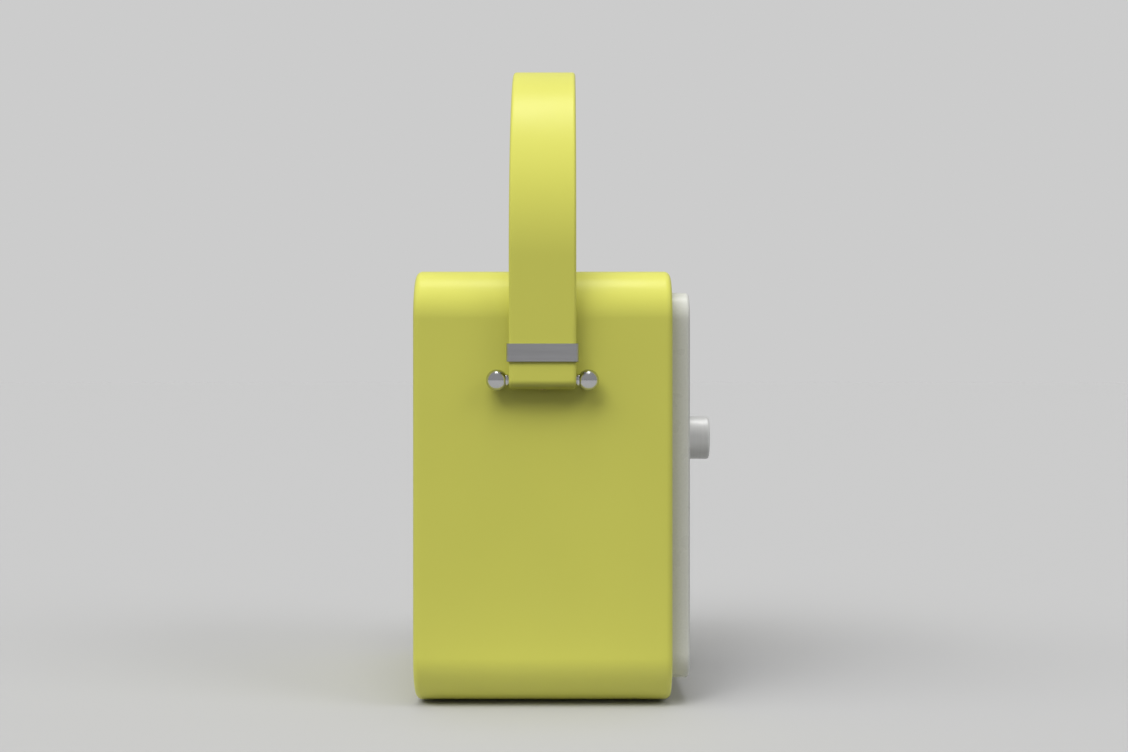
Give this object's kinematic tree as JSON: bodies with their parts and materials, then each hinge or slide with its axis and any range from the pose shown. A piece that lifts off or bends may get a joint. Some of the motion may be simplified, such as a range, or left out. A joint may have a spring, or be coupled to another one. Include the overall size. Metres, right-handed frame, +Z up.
{
  "type": "portable television",
  "caption": "Small portable television in a round-cornered cabinet, with a raised front panel, a channel knob and a carrying strap that swings on side pivots.",
  "frame": {"origin": "under the middle of the whole object's box, on the surface that the four feet stand on", "axes": "+Z up, the screen and the controls face -Y, +X is to the right of someone facing the screen"},
  "size_m": [0.1814, 0.1474, 0.3052],
  "materials": {
    "cabinet": "satin moulded",
    "strap": "smooth satin",
    "panel": "fine satin",
    "knob": "satin",
    "dark_plastic": "satin",
    "chrome": "polished",
    "satin_steel": "fine brushed",
    "plated_steel": "zinc plated",
    "brass": "turned",
    "tube_glass": "grey tube glass with a phosphor screen, opaque",
    "clear_sheet": "polished, lightly tinted",
    "copper": "varnished wire",
    "ferrite": "matt",
    "board": "laminate",
    "cloth": "open woven",
    "paper": "pressed",
    "rubber": "matt",
    "cell": "printed jacket, plain"
  },
  "bodies": {
    "cabinet": {"cabinet_shell": "cabinet", "front_panel": "panel", "rear_cover": "cabinet", "foot_1": "rubber", "foot_2": "rubber", "foot_3": "rubber", "foot_4": "rubber", "cover_screw_1": "plated_steel", "cover_screw_2": "plated_steel", "cover_screw_3": "plated_steel", "cover_screw_4": "plated_steel", "screen_bezel": "dark_plastic", "screen_guard": "clear_sheet", "picture_tube": "tube_glass", "tube_band": "plated_steel", "deflection_coil": "copper", "yoke_core": "ferrite", "tube_socket": "dark_plastic", "tuner_box": "plated_steel", "volume_control": "plated_steel", "power_switch": "dark_plastic", "speaker_cloth": "cloth", "speaker_frame": "plated_steel", "speaker_cone": "paper", "speaker_magnet": "ferrite", "chassis_frame": "plated_steel", "main_board": "board", "line_transformer": "dark_plastic", "battery_box": "dark_plastic", "battery_cell_1": "cell", "battery_cell_2": "cell", "battery_cell_3": "cell", "battery_cell_4": "cell", "aerial_socket": "plated_steel", "power_inlet": "dark_plastic", "earphone_socket": "dark_plastic", "pivot_bush_left": "brass", "pivot_bush_right": "brass"},
    "handle": {"handle_strap": "strap", "keeper_left": "satin_steel", "keeper_right": "satin_steel", "pivot_bar_left": "chrome", "pivot_bar_right": "chrome", "ball_left_front": "chrome", "ball_left_rear": "chrome", "ball_right_front": "chrome", "ball_right_rear": "chrome", "pivot_nut_left": "plated_steel", "pivot_nut_right": "plated_steel"},
    "channel_selector": {"channel_knob": "knob", "tuner_shaft": "brass"},
    "volume_knob": {"volume_knob": "knob"},
    "power_button": {"power_button": "knob"},
    "vertical_hold": {"vertical_hold_knob": "dark_plastic"},
    "horizontal_hold": {"horizontal_hold_knob": "dark_plastic"},
    "battery_door": {"battery_door": "cabinet"}
  },
  "joints": [
    {"name": "handle_swing", "type": "hinge", "parent": "cabinet", "child": "handle", "pos_m": [0, 0.0142, 0.1508], "axis": [1, 0, 0], "range_deg": [-115, 115]},
    {"name": "channel_turn", "type": "hinge", "parent": "cabinet", "child": "channel_selector", "pos_m": [0.053, -0.0539, 0.1194], "axis": [0, 1, 0], "continuous": true},
    {"name": "volume_turn", "type": "hinge", "parent": "cabinet", "child": "volume_knob", "pos_m": [0.053, -0.0539, 0.152], "axis": [0, 1, 0], "range_deg": [0, 300]},
    {"name": "power_press", "type": "slide", "parent": "cabinet", "child": "power_button", "axis": [0, 1, 0], "range_m": [0, 0.002], "stiffness_N_per_m": 400, "springref_m": -0.001},
    {"name": "vertical_hold_turn", "type": "hinge", "parent": "cabinet", "child": "vertical_hold", "pos_m": [0.03, 0.0737, 0.1], "axis": [0, 1, 0], "range_deg": [-135, 135]},
    {"name": "horizontal_hold_turn", "type": "hinge", "parent": "cabinet", "child": "horizontal_hold", "pos_m": [0.052, 0.0737, 0.1], "axis": [0, 1, 0], "range_deg": [-135, 135]},
    {"name": "battery_door_hinge", "type": "hinge", "parent": "cabinet", "child": "battery_door", "pos_m": [0, 0.0713, 0.0184], "axis": [-1, 0, 0], "range_deg": [0, 95]}
  ]
}
